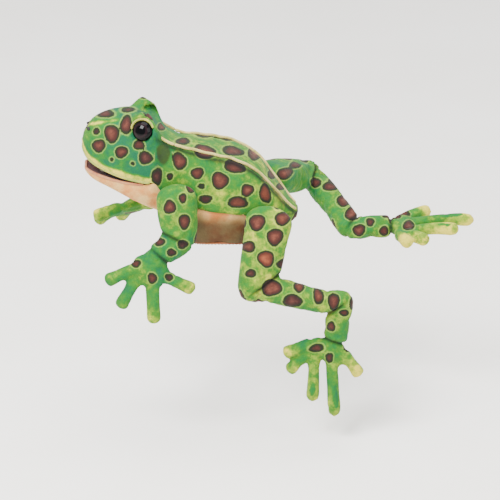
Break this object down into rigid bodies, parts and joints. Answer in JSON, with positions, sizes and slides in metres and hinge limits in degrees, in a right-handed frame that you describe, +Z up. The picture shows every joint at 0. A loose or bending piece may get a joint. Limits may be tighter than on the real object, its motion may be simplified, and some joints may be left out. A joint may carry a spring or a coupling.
{
  "type": "hand puppet",
  "caption": "Plush spotted frog hand puppet: glove body open under the belly, stiff-boarded mouth worked by the hand, glossy eyes, and stuffed jointed arms and legs with long digits.",
  "frame": {"origin": "centre of the hand opening under the belly, level with the belly skin round it", "axes": "+Z up through the back, -X towards the snout, -Y the frog's own left side; the hand comes in along +Z"},
  "size_m": [0.4888, 0.2336, 0.382],
  "materials": {
    "body_plush": "printed short-pile plush, mottled leaf green with dark-edged brown spots",
    "belly_plush": "short-pile plush, peach cream",
    "piping": "corded piping, pale yellow green",
    "lining_cloth": "thin woven lining",
    "binding_tape": "folded woven tape, stitched",
    "head_plush": "printed short-pile plush, emerald green with brown spots",
    "wadding": "polyester wadding",
    "mouth_board": "thin stiff board",
    "mouth_lining": "smooth knit, dark red",
    "lip_piping": "narrow piping, light yellow green",
    "eye_plastic": "polished black dome with a dark brown iris",
    "washer_plastic": "moulded locking washer",
    "dark_thread": "satin stitch",
    "digit_plush": "short-pile plush, light green to yellow green",
    "limb_plush": "printed short-pile plush, leaf green with dark-edged brown spots"
  },
  "bodies": {
    "torso": {"back_panel": "body_plush", "side_panel_left": "body_plush", "side_panel_right": "body_plush", "belly_panel": "belly_plush", "chest_panel": "belly_plush", "ridge_welt_left": "piping", "ridge_welt_right": "piping", "glove_lining": "lining_cloth", "opening_binding": "binding_tape"},
    "head": {"head_shell": "head_plush", "head_stuffing": "wadding", "finger_pocket": "lining_cloth", "palate_board": "mouth_board", "palate_lining": "mouth_lining", "upper_lip_welt": "lip_piping", "eye_mound_left": "head_plush", "eye_mound_right": "head_plush", "eye_left": "eye_plastic", "eye_right": "eye_plastic", "eyelid_rims": "lip_piping", "eye_washers": "washer_plastic", "nostril_stitches": "dark_thread"},
    "jaw": {"jaw_shell": "belly_plush", "jaw_stuffing": "wadding", "thumb_pocket": "lining_cloth", "jaw_board": "mouth_board", "jaw_lining": "mouth_lining", "lower_lip_welt": "lip_piping"},
    "upper_arm_left": {"upper_arm_left": "limb_plush"},
    "forearm_left": {"forearm_left": "limb_plush"},
    "hand_left": {"palm_left": "limb_plush", "finger_1_left": "digit_plush", "finger_2_left": "digit_plush", "finger_3_left": "digit_plush", "finger_4_left": "digit_plush"},
    "thigh_left": {"thigh_left": "limb_plush"},
    "shank_left": {"shank_left": "limb_plush"},
    "tarsus_left": {"tarsus_left": "limb_plush"},
    "foot_left": {"foot_left": "limb_plush", "toe_1_left": "digit_plush", "toe_2_left": "digit_plush", "toe_3_left": "digit_plush", "toe_4_left": "digit_plush", "toe_5_left": "digit_plush"},
    "upper_arm_right": {"upper_arm_right": "limb_plush"},
    "forearm_right": {"forearm_right": "limb_plush"},
    "hand_right": {"palm_right": "limb_plush", "finger_1_right": "digit_plush", "finger_2_right": "digit_plush", "finger_3_right": "digit_plush", "finger_4_right": "digit_plush"},
    "thigh_right": {"thigh_right": "limb_plush"},
    "shank_right": {"shank_right": "limb_plush"},
    "tarsus_right": {"tarsus_right": "limb_plush"},
    "foot_right": {"foot_right": "limb_plush", "toe_1_right": "digit_plush", "toe_2_right": "digit_plush", "toe_3_right": "digit_plush", "toe_4_right": "digit_plush", "toe_5_right": "digit_plush"}
  },
  "joints": [
    {"name": "neck_nod", "type": "hinge", "parent": "torso", "child": "head", "pos_m": [-0.077, 0, 0.09504], "axis": [0, -1, 0], "range_deg": [-10, 11]},
    {"name": "jaw_open", "type": "hinge", "parent": "head", "child": "jaw", "pos_m": [-0.088, 0, 0.09002], "axis": [0, -1, 0], "range_deg": [-7, 20]},
    {"name": "shoulder_swing_left", "type": "hinge", "parent": "torso", "child": "upper_arm_left", "pos_m": [-0.0588, -0.06143, 0.07656], "axis": [0.0033, 0.9971, -0.0754], "range_deg": [-30, 28]},
    {"name": "elbow_bend_left", "type": "hinge", "parent": "upper_arm_left", "child": "forearm_left", "pos_m": [-0.05649, -0.06543, 0.02376], "axis": [-0.3269, 0.9412, -0.0856], "range_deg": [-25, 36]},
    {"name": "wrist_flex_left", "type": "hinge", "parent": "forearm_left", "child": "hand_left", "pos_m": [-0.08218, -0.07582, 0.00776], "axis": [0.7537, -0.1541, -0.6389], "range_deg": [-35, 35]},
    {"name": "hip_swing_left", "type": "hinge", "parent": "torso", "child": "thigh_left", "pos_m": [0.054, -0.0648, 0.0594], "axis": [-0.0142, 0.995, -0.0986], "range_deg": [-30, 26]},
    {"name": "knee_bend_left", "type": "hinge", "parent": "thigh_left", "child": "shank_left", "pos_m": [0.04006, -0.07457, -0.03711], "axis": [-0.019, 0.995, -0.0979], "range_deg": [-25, 45]},
    {"name": "ankle_bend_left", "type": "hinge", "parent": "shank_left", "child": "tarsus_left", "pos_m": [0.14411, -0.07457, -0.05734], "axis": [-0.0037, 0.9998, -0.019], "range_deg": [-45, 25]},
    {"name": "instep_flex_left", "type": "hinge", "parent": "tarsus_left", "child": "foot_left", "pos_m": [0.13722, -0.07553, -0.10685], "axis": [1, -0.0031, 0], "range_deg": [-35, 35]},
    {"name": "shoulder_swing_right", "type": "hinge", "parent": "torso", "child": "upper_arm_right", "pos_m": [-0.0568, 0.06143, 0.0792], "axis": [0.0473, 0.9432, 0.3289], "range_deg": [-30, 12]},
    {"name": "elbow_bend_right", "type": "hinge", "parent": "upper_arm_right", "child": "forearm_right", "pos_m": [-0.06391, 0.07905, 0.02972], "axis": [-0.1193, 0.9298, 0.3481], "range_deg": [-25, 16]},
    {"name": "wrist_flex_right", "type": "hinge", "parent": "forearm_right", "child": "hand_right", "pos_m": [-0.09495, 0.07796, 0.02198], "axis": [-0.3524, -0.8707, 0.3431], "range_deg": [-35, 35]},
    {"name": "hip_swing_right", "type": "hinge", "parent": "torso", "child": "thigh_right", "pos_m": [0.054, 0.05702, 0.06072], "axis": [0.1541, 0.2285, 0.9613], "range_deg": [-10, 30]},
    {"name": "knee_bend_right", "type": "hinge", "parent": "thigh_right", "child": "shank_right", "pos_m": [0.10668, 0.13512, 0.03371], "axis": [0.5441, -0.0781, 0.8353], "range_deg": [-5, 45]},
    {"name": "ankle_bend_right", "type": "hinge", "parent": "shank_right", "child": "tarsus_right", "pos_m": [0.15838, 0.05237, -0.00771], "axis": [-0.0462, -0.47, 0.8814], "range_deg": [-22, 40]},
    {"name": "instep_flex_right", "type": "hinge", "parent": "tarsus_right", "child": "foot_right", "pos_m": [0.20832, 0.05237, -0.00509], "axis": [-0.0017, 0.9988, 0.0499], "range_deg": [-35, 35]}
  ]
}
